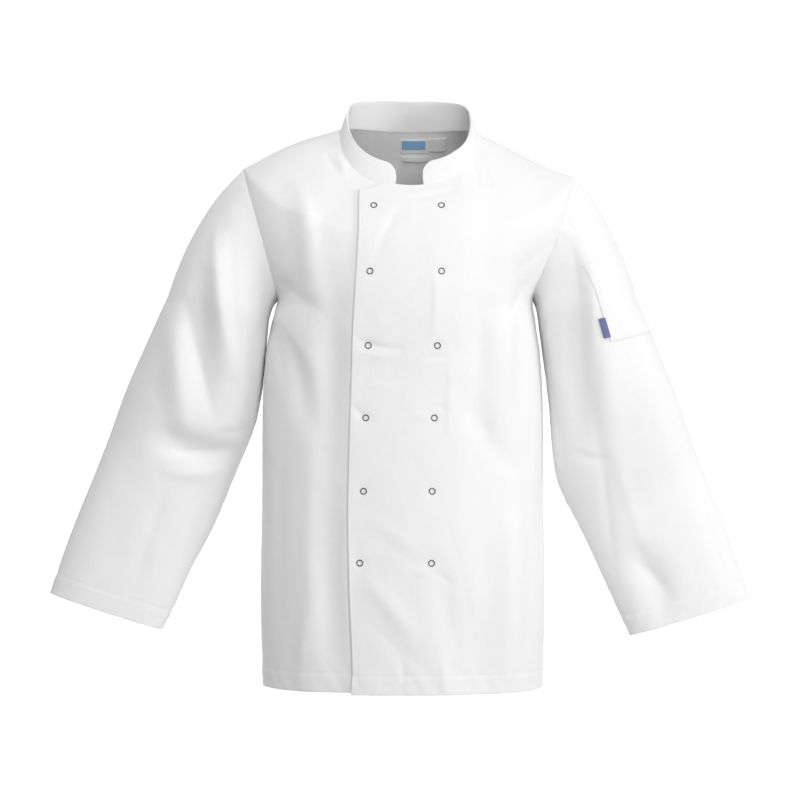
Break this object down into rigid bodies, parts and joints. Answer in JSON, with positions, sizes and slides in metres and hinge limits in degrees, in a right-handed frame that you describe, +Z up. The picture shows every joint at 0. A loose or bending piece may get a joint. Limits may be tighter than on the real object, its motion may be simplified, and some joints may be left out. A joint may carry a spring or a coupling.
{
  "type": "chef jacket",
  "caption": "Double-breasted kitchen jacket with a stand collar, long sleeves, a sleeve pen pocket and ring press studs, filled out and hollow.",
  "frame": {"origin": "in the open neck, halfway between the inner ends of the shoulder seams, where the wearer holds the jacket up", "axes": "+X towards the wearer's left sleeve, +Y towards the back, +Z up"},
  "size_m": [0.9586, 0.2538, 0.813],
  "materials": {
    "white_twill": "matt white polycotton twill",
    "navy_tape": "matt dark blue woven tape",
    "blue_label": "satin mid blue woven label, bare",
    "white_label": "satin white woven tape, bare",
    "stud_steel": "polished nickel-plated ring"
  },
  "bodies": {
    "root": {"front_left": "white_twill", "front_right": "white_twill", "back": "white_twill", "sleeve_left": "white_twill", "sleeve_right": "white_twill", "collar": "white_twill", "sleeve_pocket": "white_twill", "pocket_tab": "navy_tape", "neck_label": "blue_label", "care_label": "white_label", "hanger_loop": "white_label", "stud_right_1": "stud_steel", "stud_left_1": "stud_steel", "stud_right_2": "stud_steel", "stud_left_2": "stud_steel", "stud_right_3": "stud_steel", "stud_left_3": "stud_steel", "stud_right_4": "stud_steel", "stud_left_4": "stud_steel", "stud_right_5": "stud_steel", "stud_left_5": "stud_steel", "stud_right_6": "stud_steel", "stud_left_6": "stud_steel"}
  },
  "joints": []
}
